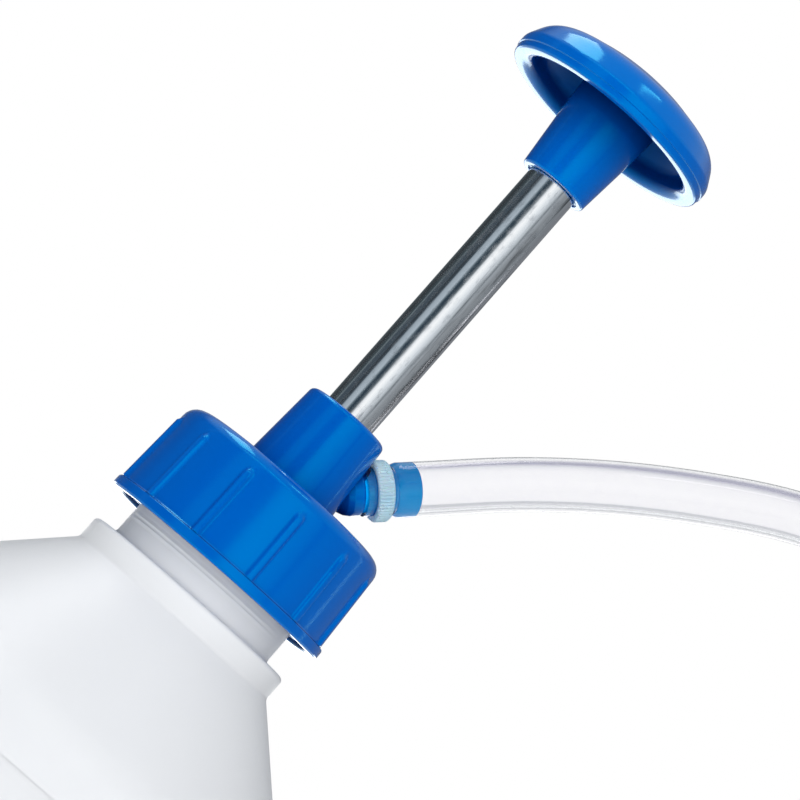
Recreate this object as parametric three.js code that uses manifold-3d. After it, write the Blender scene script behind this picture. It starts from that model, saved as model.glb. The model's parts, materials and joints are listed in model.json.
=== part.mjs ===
// Hand fluid transfer pump on its own bottle: a plunger pump screwed into a round plastic bottle.
// Millimetres, +Z up. The pump axis is the Z axis and the bottle stands on z = 0.
// The outlet points along +X. The plunger is drawn raised by its whole stroke.

import * as THREE from "three";
import { mergeVertices } from "three/addons/utils/BufferGeometryUtils.js";
import Module from "manifold-3d";

const wasm = await Module();
wasm.setup();

// ---------------------------------------------------------------- driving dimensions

const GAP = 0.3; // between faces that touch
const FINE = 48; // facets round the large parts
const ROUND = 32; // facets round the running parts
const PLAIN = 20; // facets round the small fixed parts

const BOTTLE_R = 77;
const BOTTLE_WALL = 1.8;
const SHOULDER_TOP = 240; // top of the 45 degree shoulder
const SHOULDER_ROUND = 14;
const BASE_FLAT = [58, 70]; // inner and outer radius of the ring it stands on
const BASE_RISE = 4; // height of the hollow under the base
const COLLAR_R = 35;
const COLLAR_TOP = 247.4;
const NECK_R = 28.1;
const NECK_BORE = 26.2;
const NECK_TOP = 280;

const THREAD_PITCH = 5;
const THREAD_TURNS = 1.75;
const THREAD_STEPS = 24; // facets in one turn
const THREAD_DEPTH = 1.6;
const THREAD_BASE = 2.4; // axial width at the root
const THREAD_CREST = 1.2; // axial width at the crest
const NECK_THREAD_Z = 264;

const CAP_LOW = 257.3;
const CAP_TOP = 289.5;
const CAP_CEILING = 286.2;
const CAP_R_LOW = 37;
const CAP_R_TOP = 35.5;
const CAP_ROUND = 4.5;
const CAP_FLANGE_R = 38.1;
const CAP_FLANGE = 3.4; // height of the bottom flange
const CAP_HOLE = 15.9;
const CAP_SKIRT = [30.2, 32.4]; // inner, threaded skirt
const CAP_GROOVE_R = 34.6; // inside of the outer skirt
const CAP_GROOVE_TOP = 282;
const CAP_RIBS = 12;
const CAP_RIB = { width: 4, proud: 0.9, low: 261.5, high: 286, turn: 23 };
const CAP_WEB = 1.4;

const FLANGE_Z = [282.6, 285.6]; // of the pump head
const FLANGE_R = 28.4;
const BOSS_R_LOW = 15.3;
const BOSS_R_TOP = 13.5;
const BOSS_TOP = 315.3;
const BOSS_ROUND = 1.5;
const BOSS_LIP = [8.6, 313.3]; // radius of the rod's hole, height of the lip's underside
const SEAL_BORE = [10.6, 302]; // radius, height where it starts
const HEAD_BORE = 12;
const HUB_R = 14.9;
const HUB_LOW = 268;
const HUB_GROOVE = { r: 13.4, low: 273.6, high: 275.8 };
const VENT = { x: 20.5, hole: 1.7, stem: 1.3, disc: 3, low: 281 };

const OUTLET_Z = 286; // where the outlet's axis meets the pump axis
const OUTLET_TILT = THREE.MathUtils.degToRad(43); // above the horizontal
const OUTLET_BORE = 3.4;
const SPIGOT_END = 41; // distances along the outlet's axis, from the pump axis
const HOSE_END = 24.5;
const SPIGOT_NECK = { r: 5.4, buried: 10, to: 17 };
const SPIGOT_SHOULDER = { r: 7, from: 20.5, to: 23.5 };
const BARBS = { count: 3, pitch: 4.8, rise: 0.2, root: 5.2, crest: 5.9 };
const CLAMP = { from: 27, to: 32, inner: 7.3, outer: 8.9 };

const ROD_R = 8.1;
const ROD_BORE = 6.9;
const ROD_TOP = 423.7;
const TOP_PLUG = { r: 6.5, height: 12.4 };
const RUNNING_R = 8.2; // bush and seal round the rod
const STEM_LOW = 405.1;
const RIM_LOW = 428.1;
const STEM_R_LOW = 11;
const STEM_R_TOP = 13.2;
const KNOB_TOP = 444.4;
const KNOB_R = 34.8;
const KNOB_HOLLOW_R = 28.4;

const STROKE = 88;
const PISTON_LOW = 243;
const PISTON_R = 14.6;
const PISTON = {
  // heights above the piston's lower face
  seal: { r: 11.8, low: 1.6, high: 5.8 },
  wear: { r: 12.6, low: 7.2, high: 11.2 },
  land: 12.4,
  chamber: { mouth: 9, low: 4.6, high: 17 },
  window: { width: 5.2, low: 13, high: 16.8, count: 4 },
  shoulder: { r: 10, high: 19 },
  stud: { r: 6.5, high: 30 },
};
const PISTON_SEAT_BORE = 3.4;
const PISTON_BALL_R = 5;
const PISTON_BALL_Z = 248.7; // resting in the seat's cone
const BARREL_BORE = 15.2;
const BARREL_R = 17;
const BARREL_LOW = 139.3;
const FOOT_VALVE = { seatLow: 139, seatBore: 3.2, tailLow: 118, tailR: 4.9, collarLow: 135.3 };
const FOOT_BALL_R = 5.5;
const FOOT_BALL_Z = 143.8; // resting in the seat's cone
const BALL_CHAMBER = 6.8; // radius round either ball
const CAGE = { inner: 8.4, outer: 14.8, barWidth: 2.6, barHeight: 1.2 };
const CAGE_LOW = 150.6;
const CAGE_TOP = PISTON_LOW - STROKE - 1.2; // just clear of the lowered piston
const DIP_TUBE = { bore: 5.2, r: 6.8, low: 14, high: 135 };
const STRAINER = { bore: 7.1, r: 8.6, low: 9, high: 24, slots: 6 };

const HOSE_R = 8;
const COIL = { x: 178, inner: 64, outer: 96, lift: 1.1, height: 32 };
const TIE = { angle: 100, width: 7, thick: 0.8 };
const NOZZLE = { angle: 30, radius: 73, length: 48, r: 7.2, tip: 3.4, bore: 2.2 };
const HOSE_SIDES = 10;
const HOSE_STEPS = 26;

// The hose's centre line from its end on the outlet, over the arch and down to the coil.
const HOSE_ROUTE = [
  [17.9, 0, 302.7],
  [31.6, 0, 315.5],
  [53.7, 0, 336.1],
  [76.2, 0, 354.1],
  [100.8, 0, 370.9],
  [127.6, 0, 386.5],
  [156, 0, 398.2],
  [184, -2, 402.6],
  [211, -5, 398.6],
  [235, -10, 384.6],
  [253, -17, 362],
  [263, -25, 333],
  [266, -34, 300],
  [266, -43, 262],
  [266, -51, 220],
  [266, -58, 175],
  [266, -64, 128],
  [266, -66, 92],
  [266, -66, 75.1],
  [266, -62.9, 55.1],
  [266, -54, 37.2],
];

// ---------------------------------------------------------------- materials

const finish = (color, roughness, metalness = 0) =>
  new THREE.MeshStandardMaterial({ color, roughness, metalness });

const blue = () => finish(0x0a5cba, 0.3);
const bottleWhite = () => finish(0xe6e7ea, 0.5);
const chrome = () => finish(0xc8ccd0, 0.15, 1);
const steel = () => finish(0xa8acb0, 0.25, 1);
const rubber = () => finish(0x1c1c1e, 0.7);
const natural = () => finish(0xdfe2e4, 0.45);
const clear = () => finish(0xe9e9f2, 0.2);

// ---------------------------------------------------------------- shape helpers

/** A turned solid about Z from a profile of [radius, height] pairs. */
function turned(profile, facets = ROUND) {
  const points = profile.map(([r, z]) => new THREE.Vector2(r, z));
  return new THREE.LatheGeometry(points, facets).rotateX(Math.PI / 2);
}

/** A closed profile of [radius, height] pairs, turned into a ring about Z. */
function ring(profile, facets = ROUND) {
  return turned([...profile, profile[0]], facets);
}

/** Profile of a plain tube or washer. */
function band(inner, outer, low, high) {
  return [
    [inner, low],
    [outer, low],
    [outer, high],
    [inner, high],
  ];
}

/** Points on an arc in a profile, angles in degrees from the radial direction. */
function arc(r, z, radius, from, to, steps = 4) {
  const points = [];
  for (let i = 0; i <= steps; i += 1) {
    const angle = THREE.MathUtils.degToRad(from + ((to - from) * i) / steps);
    points.push([r + radius * Math.cos(angle), z + radius * Math.sin(angle)]);
  }
  return points;
}

/** A box from its lowest and highest corners. */
function block(low, high) {
  const size = high.map((value, i) => value - low[i]);
  const middle = high.map((value, i) => (value + low[i]) / 2);
  return new THREE.BoxGeometry(...size).translate(...middle);
}

/** Copies of a geometry, spread evenly round Z. */
function spread(geometry, count, startDegrees = 0) {
  const start = THREE.MathUtils.degToRad(startDegrees);
  return Array.from({ length: count }, (_, i) =>
    geometry.clone().rotateZ(start + (i * 2 * Math.PI) / count),
  );
}

/** Closed skin over a row of equal loops, each running anticlockwise about the direction of travel. */
function skin(loops) {
  const n = loops[0].length;
  const index = [];
  for (let i = 0; i + 1 < loops.length; i += 1) {
    for (let j = 0; j < n; j += 1) {
      const a = i * n + j;
      const b = i * n + ((j + 1) % n);
      index.push(a, b, b + n, a, b + n, a + n);
    }
  }
  const last = (loops.length - 1) * n;
  for (let j = 1; j + 1 < n; j += 1) {
    index.push(0, j + 1, j, last, last + j, last + j + 1);
  }
  const geometry = new THREE.BufferGeometry();
  geometry.setAttribute("position", new THREE.Float32BufferAttribute(loops.flat(2), 3));
  geometry.setIndex(index);
  return geometry;
}

/** A helical thread ridge on a wall of the given radius; inward for a nut, outward for a screw. */
function threadRidge(wall, low, inward) {
  const side = inward ? -1 : 1;
  const steps = Math.round(THREAD_TURNS * THREAD_STEPS);
  const loops = [];
  for (let i = 0; i <= steps; i += 1) {
    const turn = (THREAD_TURNS * i) / steps;
    const angle = turn * 2 * Math.PI;
    const z = low + turn * THREAD_PITCH;
    const ramp = Math.min(1, 6 * turn + 0.1, 6 * (THREAD_TURNS - turn) + 0.1);
    const root = wall - side * 0.5;
    const crest = wall + side * THREAD_DEPTH * ramp;
    const section = [
      [root, z - THREAD_BASE / 2],
      [root, z + THREAD_BASE / 2],
      [crest, z + THREAD_CREST / 2],
      [crest, z - THREAD_CREST / 2],
    ];
    const loop = section.map(([r, h]) => [r * Math.cos(angle), r * Math.sin(angle), h]);
    loops.push(inward ? loop.reverse() : loop);
  }
  return skin(loops);
}

/** A three.js geometry as a solid for joining and cutting. */
function solid(geometry) {
  const bare = geometry.clone();
  bare.deleteAttribute("normal");
  bare.deleteAttribute("uv");
  const merged = mergeVertices(bare);
  return new wasm.Manifold(
    new wasm.Mesh({
      numProp: 3,
      vertProperties: new Float32Array(merged.attributes.position.array),
      triVerts: new Uint32Array(merged.index.array),
    }),
  );
}

/** The joined and cut solid as a three.js geometry. */
function surface(body) {
  const mesh = body.getMesh();
  const geometry = new THREE.BufferGeometry();
  geometry.setAttribute("position", new THREE.BufferAttribute(mesh.vertProperties, 3));
  geometry.setIndex(new THREE.BufferAttribute(mesh.triVerts, 1));
  return geometry;
}

/** Base joined with the added geometries, then cut by the others. */
function carve(base, added, cut = []) {
  const joined = added.reduce((body, tool) => body.add(solid(tool)), solid(base));
  return surface(cut.reduce((body, tool) => body.subtract(solid(tool)), joined));
}

/** Moves a geometry made about Z on to the outlet's axis. */
function onOutlet(geometry) {
  return geometry.rotateY(Math.PI / 2 - OUTLET_TILT).translate(0, 0, OUTLET_Z);
}

const pump = new THREE.Group();

/** Adds a named sub-part to a group. */
function part(name, geometry, material, parent = pump) {
  const mesh = new THREE.Mesh(geometry, material);
  mesh.name = name;
  parent.add(mesh);
  return mesh;
}

// ---------------------------------------------------------------- bottle

/** Blow-moulded bottle: hollow base, straight wall, 45 degree shoulder, collar and threaded neck. */
function bottleShape() {
  const wall = BOTTLE_WALL;
  const coneSum = SHOULDER_TOP + COLLAR_R; // radius plus height along the shoulder
  const innerSum = coneSum - wall * Math.SQRT2;
  const innerR = BOTTLE_R - wall;
  const baseRound = BOTTLE_R - BASE_FLAT[1];
  const tangent = SHOULDER_ROUND * Math.tan(Math.PI / 8);
  const roundZ = coneSum - BOTTLE_R - tangent;
  const collarR = COLLAR_R - wall;
  const profile = [
    [0, BASE_RISE],
    [BASE_FLAT[0] - BASE_RISE, BASE_RISE],
    [BASE_FLAT[0], 0],
    ...arc(BASE_FLAT[1], baseRound, baseRound, -90, 0, 4),
    ...arc(BOTTLE_R - SHOULDER_ROUND, roundZ, SHOULDER_ROUND, 0, 45, 3),
    [COLLAR_R, SHOULDER_TOP],
    ...arc(COLLAR_R - 1.5, COLLAR_TOP - 1.5, 1.5, 0, 90, 2),
    [NECK_R + 1, COLLAR_TOP],
    [NECK_R, COLLAR_TOP + 1.5],
    [NECK_R, NECK_TOP],
    [NECK_BORE, NECK_TOP],
    [NECK_BORE, COLLAR_TOP - wall],
    [collarR, COLLAR_TOP - wall],
    [collarR, innerSum - collarR],
    ...arc(BOTTLE_R - SHOULDER_ROUND, roundZ, SHOULDER_ROUND - wall, 45, 0, 3),
    ...arc(BASE_FLAT[1], baseRound, innerR - BASE_FLAT[1], 0, -90, 4),
    [BASE_FLAT[0] + wall / 2, wall],
    [BASE_FLAT[0] - BASE_RISE + wall / 2, BASE_RISE + wall],
    [0, BASE_RISE + wall],
  ];
  return carve(turned(profile, FINE), [threadRidge(NECK_R, NECK_THREAD_Z, false)]);
}

part("bottle", bottleShape(), bottleWhite());

// ---------------------------------------------------------------- screw cap

/** Ribbed cap with a flange, an inner threaded skirt and webs between its two walls. */
function capShape() {
  const flangeTop = CAP_LOW + CAP_FLANGE;
  const [skirtIn, skirtOut] = CAP_SKIRT;
  const shell = ring(
    [
      [CAP_HOLE, CAP_CEILING],
      [skirtIn, CAP_CEILING],
      [skirtIn, CAP_LOW + 1],
      [skirtOut, CAP_LOW + 1],
      [skirtOut, CAP_GROOVE_TOP],
      [CAP_GROOVE_R - 1, CAP_GROOVE_TOP],
      [CAP_GROOVE_R, CAP_LOW],
      [CAP_FLANGE_R, CAP_LOW],
      [CAP_FLANGE_R, flangeTop - 1],
      [CAP_R_LOW, flangeTop],
      ...arc(CAP_R_TOP - CAP_ROUND, CAP_TOP - CAP_ROUND, CAP_ROUND, 0, 90, 4),
      [CAP_HOLE, CAP_TOP],
    ],
    FINE,
  );
  const rib = block(
    [CAP_R_TOP - 1.5, -CAP_RIB.width / 2, CAP_RIB.low],
    [CAP_R_TOP + CAP_RIB.proud, CAP_RIB.width / 2, CAP_RIB.high],
  );
  const web = block(
    [skirtOut - 0.5, -CAP_WEB / 2, CAP_LOW + 2.5],
    [CAP_GROOVE_R + 0.2, CAP_WEB / 2, CAP_GROOVE_TOP + 1],
  );
  return carve(shell, [
    ...spread(rib, CAP_RIBS, CAP_RIB.turn),
    ...spread(web, CAP_RIBS, CAP_RIB.turn + 180 / CAP_RIBS),
    threadRidge(skirtIn, NECK_THREAD_Z - THREAD_PITCH / 2, true),
  ]);
}

part("screw_cap", capShape(), blue());

// ---------------------------------------------------------------- pump head

/** Moulded head: flange on the neck, boss round the rod, hub for the barrel and the outlet spigot. */
function headShape() {
  const outside = turned([
    [0, HUB_LOW],
    [HUB_R, HUB_LOW],
    [HUB_R, HUB_GROOVE.low],
    [HUB_GROOVE.r, HUB_GROOVE.low],
    [HUB_GROOVE.r, HUB_GROOVE.high],
    [HUB_R, HUB_GROOVE.high],
    [HUB_R, FLANGE_Z[0]],
    [FLANGE_R, FLANGE_Z[0]],
    [FLANGE_R, FLANGE_Z[1]],
    [BOSS_R_LOW, FLANGE_Z[1]],
    ...arc(BOSS_R_TOP - BOSS_ROUND, BOSS_TOP - BOSS_ROUND, BOSS_ROUND, 0, 90, 3),
    [0, BOSS_TOP],
  ]);
  const [lipR, lipZ] = BOSS_LIP;
  const [sealR, sealZ] = SEAL_BORE;
  const bore = turned([
    [0, HUB_LOW - 1],
    [HEAD_BORE, HUB_LOW - 1],
    [HEAD_BORE, sealZ],
    [sealR, sealZ],
    [sealR, lipZ],
    [lipR, lipZ],
    [lipR, BOSS_TOP + 1],
    [0, BOSS_TOP + 1],
  ]);
  const barbs = Array.from({ length: BARBS.count }, (_, i) => HOSE_END + 2 + i * BARBS.pitch).flatMap(
    (low) => [
      [BARBS.root, low],
      [BARBS.crest, low + BARBS.rise],
    ],
  );
  const spigot = turned(
    [
      [0, SPIGOT_NECK.buried],
      [SPIGOT_NECK.r, SPIGOT_NECK.buried],
      [SPIGOT_NECK.r, SPIGOT_NECK.to],
      [SPIGOT_SHOULDER.r, SPIGOT_SHOULDER.from],
      [SPIGOT_SHOULDER.r, SPIGOT_SHOULDER.to],
      ...barbs,
      [BARBS.root - 0.2, SPIGOT_END],
      [0, SPIGOT_END],
    ],
    PLAIN,
  );
  const channel = new THREE.CylinderGeometry(OUTLET_BORE, OUTLET_BORE, SPIGOT_END, PLAIN)
    .rotateX(Math.PI / 2)
    .translate(0, 0, 6 + SPIGOT_END / 2);
  const vent = new THREE.CylinderGeometry(VENT.hole, VENT.hole, 10, 16)
    .rotateX(Math.PI / 2)
    .translate(-VENT.x, 0, FLANGE_Z[0]);
  return carve(outside, [onOutlet(spigot)], [bore, onOutlet(channel), vent]);
}

part("pump_head", headShape(), blue());

/** Rubber umbrella that lets air in under the flange. */
function ventShape() {
  return turned(
    [
      [0, VENT.low],
      [VENT.disc, VENT.low + 0.3],
      [VENT.disc, FLANGE_Z[0] - GAP],
      [VENT.stem, FLANGE_Z[0] - GAP],
      [VENT.stem, FLANGE_Z[1] - GAP],
      [0, FLANGE_Z[1] - GAP],
    ],
    16,
  ).translate(-VENT.x, 0, 0);
}

part("vent_valve", ventShape(), rubber());

const gasket = band(24, FLANGE_R, NECK_TOP + GAP, FLANGE_Z[0] - GAP);
part("neck_gasket", ring(gasket, FINE), rubber());

/** Ring that squeezes the hose on the spigot. */
const clampBand = band(CLAMP.inner, CLAMP.outer, CLAMP.from, CLAMP.to);
part("hose_clamp_ring", onOutlet(ring(clampBand, PLAIN)), natural());

// The stack round the rod, from the top lip down: bush, seal, retaining ring.
const sealStack = [
  { name: "rod_guide", inner: RUNNING_R, height: 5.1, material: natural() },
  { name: "rod_seal", inner: RUNNING_R, height: 3.5, material: rubber() },
  { name: "seal_retainer", inner: 8.7, height: 1.5, material: steel() },
];
let stackTop = BOSS_LIP[1] - GAP;
for (const { name, inner, height, material } of sealStack) {
  const profile = band(inner, SEAL_BORE[0] - 0.15, stackTop - height, stackTop);
  part(name, ring(profile), material);
  stackTop -= height + GAP;
}

// ---------------------------------------------------------------- barrel and foot valve

part("barrel", ring(band(BARREL_BORE, BARREL_R, BARREL_LOW, FLANGE_Z[0] - GAP)), natural());

const oRingR = 0.75;
const oRingZ = (HUB_GROOVE.low + HUB_GROOVE.high) / 2;
const oRing = arc((HUB_GROOVE.r + BARREL_BORE) / 2, oRingZ, oRingR, 0, 315, 7);
part("barrel_oring", ring(oRing), rubber());

/** Plug in the barrel's lower end, with the ball's seat and the dip tube's tail. */
function footBodyShape() {
  const { seatLow, seatBore, tailLow, tailR, collarLow } = FOOT_VALVE;
  const plugTop = CAGE_LOW - GAP;
  return ring([
    [seatBore, tailLow],
    [tailR, tailLow],
    [tailR, collarLow],
    [BARREL_R, collarLow],
    [BARREL_R, BARREL_LOW - GAP],
    [BARREL_BORE - 0.2, BARREL_LOW - GAP],
    [BARREL_BORE - 0.2, plugTop],
    [BALL_CHAMBER, plugTop],
    [BALL_CHAMBER, seatLow + BALL_CHAMBER - seatBore],
    [seatBore, seatLow],
  ]);
}

part("foot_valve_body", footBodyShape(), natural());

/** Ring with a cross that stops the foot valve's ball. */
function cageShape() {
  const { inner, outer, barWidth, barHeight } = CAGE;
  const reach = (inner + outer) / 2;
  const bar = block(
    [-reach, -barWidth / 2, CAGE_TOP - barHeight],
    [reach, barWidth / 2, CAGE_TOP],
  );
  const base = ring(band(inner, outer, CAGE_LOW, CAGE_TOP));
  return carve(base, [bar, bar.clone().rotateZ(Math.PI / 2)]);
}

part("foot_valve_cage", cageShape(), natural());

/** A valve ball about its own centre. */
const ball = (radius, z) => new THREE.SphereGeometry(radius, 20, 12).translate(0, 0, z);
part("foot_valve_ball", ball(FOOT_BALL_R, FOOT_BALL_Z), steel());

part("dip_tube", ring(band(DIP_TUBE.bore, DIP_TUBE.r, DIP_TUBE.low, DIP_TUBE.high), PLAIN), natural());

/** Slotted cup on the dip tube's lower end. */
function strainerShape() {
  const { bore, r, low, high, slots } = STRAINER;
  const cup = turned(
    [
      [0, low],
      [r, low],
      [r, high],
      [bore, high],
      [bore, low + 1.5],
      [0, low + 1.5],
    ],
    PLAIN,
  );
  const slot = block([bore - 2, -1, low + 1.5], [r + 2, 1, low + 4.5]);
  return carve(cup, [], spread(slot, slots));
}

part("inlet_strainer", strainerShape(), natural());

// ---------------------------------------------------------------- plunger

part("pump_rod", ring(band(ROD_BORE, ROD_R, PISTON_LOW + PISTON.shoulder.high + GAP, ROD_TOP)), chrome());

const topPlug = new THREE.CylinderGeometry(TOP_PLUG.r, TOP_PLUG.r, TOP_PLUG.height, PLAIN)
  .rotateX(Math.PI / 2)
  .translate(0, 0, ROD_TOP - GAP - TOP_PLUG.height / 2);
part("rod_top_plug", topPlug, natural());

/** Mushroom knob: tapered stem with the rod's socket, and a hollow crown with a rounded lip. */
function knobShape() {
  const socket = ROD_R + 0.15;
  return turned(
    [
      [0, ROD_TOP + GAP],
      [socket, ROD_TOP + GAP],
      [socket, STEM_LOW],
      [STEM_R_LOW - 0.6, STEM_LOW],
      [STEM_R_LOW, STEM_LOW + 0.6],
      [STEM_R_TOP, RIM_LOW],
      [STEM_R_TOP + 0.4, KNOB_TOP - 2.6],
      [20, KNOB_TOP - 3.4],
      [25, KNOB_TOP - 6.4],
      [KNOB_HOLLOW_R - 0.6, RIM_LOW + 5],
      [KNOB_HOLLOW_R, RIM_LOW + 1.8],
      [KNOB_HOLLOW_R + 1.6, RIM_LOW + 0.2],
      [KNOB_R - 1.2, RIM_LOW],
      [KNOB_R - 0.4, RIM_LOW + 0.8],
      [KNOB_R, RIM_LOW + 2.6],
      [KNOB_R - 0.5, RIM_LOW + 5.8],
      [31.8, KNOB_TOP - 7],
      [27, KNOB_TOP - 3.6],
      [20, KNOB_TOP - 1.3],
      [10, KNOB_TOP - 0.2],
      [0, KNOB_TOP],
    ],
    FINE,
  );
}

part("handle_knob", knobShape(), blue());

/** Piston with its two grooves, the ball's chamber, four side windows and the stud in the rod. */
function pistonShape() {
  const { seal, wear, land, chamber, window, shoulder, stud } = PISTON;
  const body = turned([
    [0, PISTON_LOW + chamber.high],
    [BALL_CHAMBER, PISTON_LOW + chamber.high],
    [BALL_CHAMBER, PISTON_LOW + chamber.low],
    [chamber.mouth, PISTON_LOW + chamber.low],
    [chamber.mouth, PISTON_LOW],
    [PISTON_R, PISTON_LOW],
    [PISTON_R, PISTON_LOW + seal.low],
    [seal.r, PISTON_LOW + seal.low],
    [seal.r, PISTON_LOW + seal.high],
    [PISTON_R, PISTON_LOW + seal.high],
    [PISTON_R, PISTON_LOW + wear.low],
    [wear.r, PISTON_LOW + wear.low],
    [wear.r, PISTON_LOW + wear.high],
    [PISTON_R, PISTON_LOW + wear.high],
    [PISTON_R, PISTON_LOW + land],
    [shoulder.r, PISTON_LOW + land + 0.4],
    [shoulder.r, PISTON_LOW + shoulder.high],
    [stud.r, PISTON_LOW + shoulder.high],
    [stud.r, PISTON_LOW + stud.high],
    [0, PISTON_LOW + stud.high],
  ]);
  const opening = block(
    [5, -window.width / 2, PISTON_LOW + window.low],
    [shoulder.r + 1, window.width / 2, PISTON_LOW + window.high],
  );
  return carve(body, [], spread(opening, window.count));
}

part("piston_body", pistonShape(), natural());

const seatR = PISTON.chamber.mouth - GAP;
const seatTop = PISTON_LOW + PISTON.chamber.low - GAP;
const seatCone = 2.5;
const seatProfile = [
  [PISTON_SEAT_BORE, PISTON_LOW],
  [seatR, PISTON_LOW],
  [seatR, seatTop],
  [PISTON_SEAT_BORE + seatCone, seatTop],
  [PISTON_SEAT_BORE, seatTop - seatCone],
];
part("piston_seat", ring(seatProfile, PLAIN), natural());
part("piston_valve_ball", ball(PISTON_BALL_R, PISTON_BALL_Z), steel());

// Cup seal with its lips upwards, for a pump that lifts on the up stroke.
const sealIn = PISTON.seal.r + 0.2;
const sealLow = PISTON_LOW + PISTON.seal.low + 0.2;
const sealTop = PISTON_LOW + PISTON.seal.high - 0.2;
const cupSeal = [
  [sealIn, sealLow],
  [PISTON_R + GAP, sealLow],
  [BARREL_BORE - 0.08, sealTop],
  [PISTON_R - 0.1, sealTop],
  [(sealIn + BARREL_BORE) / 2, sealLow + 1.4],
  [sealIn + 0.7, sealTop],
  [sealIn, sealTop],
];
part("piston_seal", ring(cupSeal), rubber());

const wearBand = band(
  PISTON.wear.r + 0.2,
  BARREL_BORE - 0.1,
  PISTON_LOW + PISTON.wear.low + 0.2,
  PISTON_LOW + PISTON.wear.high - 0.2,
);
part("piston_wear_ring", ring(wearBand), natural());

// ---------------------------------------------------------------- hose

/** The free stretch, from the spigot's end face to the top of the coil. */
function hoseShape() {
  const along = SPIGOT_END + GAP;
  const start = [along * Math.cos(OUTLET_TILT), 0, OUTLET_Z + along * Math.sin(OUTLET_TILT)];
  const points = [start, ...HOSE_ROUTE.slice(2)].map((p) => new THREE.Vector3(...p));
  const path = new THREE.CatmullRomCurve3(points);
  const section = new THREE.Shape();
  for (let i = 0; i < HOSE_SIDES; i += 1) {
    const angle = (i * 2 * Math.PI) / HOSE_SIDES;
    const place = [HOSE_R * Math.cos(angle), HOSE_R * Math.sin(angle)];
    if (i === 0) {
      section.moveTo(...place);
    } else {
      section.lineTo(...place);
    }
  }
  return new THREE.ExtrudeGeometry(section, {
    steps: HOSE_STEPS,
    bevelEnabled: false,
    extrudePath: path,
  });
}

part("hose_free", hoseShape(), clear());

const coil = new THREE.Group();
coil.position.set(COIL.x, 0, 0);
pump.add(coil);

/** Outer shape of the coil: two layers of hose. */
function coilShape() {
  const low = COIL.lift;
  const high = COIL.lift + COIL.height;
  const round = 5;
  return ring(
    [
      ...arc(COIL.outer - round, low + round, round, -90, 0, 3),
      ...arc(COIL.outer - round, high - round, round, 0, 90, 3),
      ...arc(COIL.inner + round, high - round, round, 90, 180, 3),
      ...arc(COIL.inner + round, low + round, round, 180, 270, 3),
    ],
    PLAIN,
  );
}

part("hose_coil", coilShape(), clear(), coil);

/** Flat strap closed round the coil. */
function tieShape() {
  const outline = (margin) => {
    const left = COIL.inner * Math.cos(Math.PI / PLAIN) - margin; // the facets reach inside the circle
    const right = COIL.outer + margin;
    const low = COIL.lift - margin;
    const high = COIL.lift + COIL.height + margin;
    return [
      [left, low],
      [right, low],
      [right, high],
      [left, high],
    ].map(([x, y]) => new THREE.Vector2(x, y));
  };
  const shape = new THREE.Shape(outline(GAP + TIE.thick));
  shape.holes.push(new THREE.Path(outline(GAP)));
  return new THREE.ExtrudeGeometry(shape, { depth: TIE.width, steps: 1, bevelEnabled: false })
    .translate(0, 0, -TIE.width / 2)
    .rotateX(Math.PI / 2);
}

const tie = part("hose_tie", tieShape(), rubber(), coil);
tie.rotation.z = THREE.MathUtils.degToRad(TIE.angle);

/** Straight tapered spout on the hose's far end, lying on the coil. */
function nozzleShape() {
  const { length, r, tip, bore } = NOZZLE;
  return ring(
    [
      [bore, 0],
      [r, 0],
      [r, 10],
      [r - 1.2, 12],
      [tip, length],
      [bore, length],
    ],
    PLAIN,
  );
}

const nozzle = part("hose_nozzle", nozzleShape().rotateX(-Math.PI / 2), blue(), coil);
const nozzleAngle = THREE.MathUtils.degToRad(NOZZLE.angle);
nozzle.rotation.z = nozzleAngle;
nozzle.position.set(
  NOZZLE.radius * Math.cos(nozzleAngle),
  NOZZLE.radius * Math.sin(nozzleAngle),
  COIL.lift + COIL.height + NOZZLE.r + GAP,
);

export default pump;
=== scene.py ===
"""Looks of the hand fluid transfer pump: bottle, screw cap, pump head, plunger and outlet hose."""

import json
import math

import bmesh
import bpy
from mathutils import Matrix, Vector


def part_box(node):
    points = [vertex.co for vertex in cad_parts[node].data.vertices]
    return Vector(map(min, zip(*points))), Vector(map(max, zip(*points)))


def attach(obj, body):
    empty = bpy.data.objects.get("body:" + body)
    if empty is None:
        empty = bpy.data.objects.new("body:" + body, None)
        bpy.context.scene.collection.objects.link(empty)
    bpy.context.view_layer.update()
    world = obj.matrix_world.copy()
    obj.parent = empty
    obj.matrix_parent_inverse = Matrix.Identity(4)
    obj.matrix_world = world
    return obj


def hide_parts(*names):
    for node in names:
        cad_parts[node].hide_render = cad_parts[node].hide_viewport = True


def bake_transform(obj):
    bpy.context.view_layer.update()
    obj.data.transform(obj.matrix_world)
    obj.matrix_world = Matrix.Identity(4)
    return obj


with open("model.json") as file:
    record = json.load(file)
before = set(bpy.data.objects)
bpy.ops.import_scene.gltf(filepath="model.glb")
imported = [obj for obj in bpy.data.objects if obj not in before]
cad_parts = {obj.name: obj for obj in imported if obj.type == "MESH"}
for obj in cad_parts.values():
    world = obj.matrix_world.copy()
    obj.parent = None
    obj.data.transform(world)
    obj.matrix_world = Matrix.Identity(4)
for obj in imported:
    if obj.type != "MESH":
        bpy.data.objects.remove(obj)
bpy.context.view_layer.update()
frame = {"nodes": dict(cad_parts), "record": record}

MM = 0.001


def low(node):
    """Lowest corner of a CAD node, in millimetres."""
    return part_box(node)[0] / MM


def high(node):
    """Highest corner of a CAD node, in millimetres."""
    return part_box(node)[1] / MM


# ---------------------------------------------------------------- places, in millimetres

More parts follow.
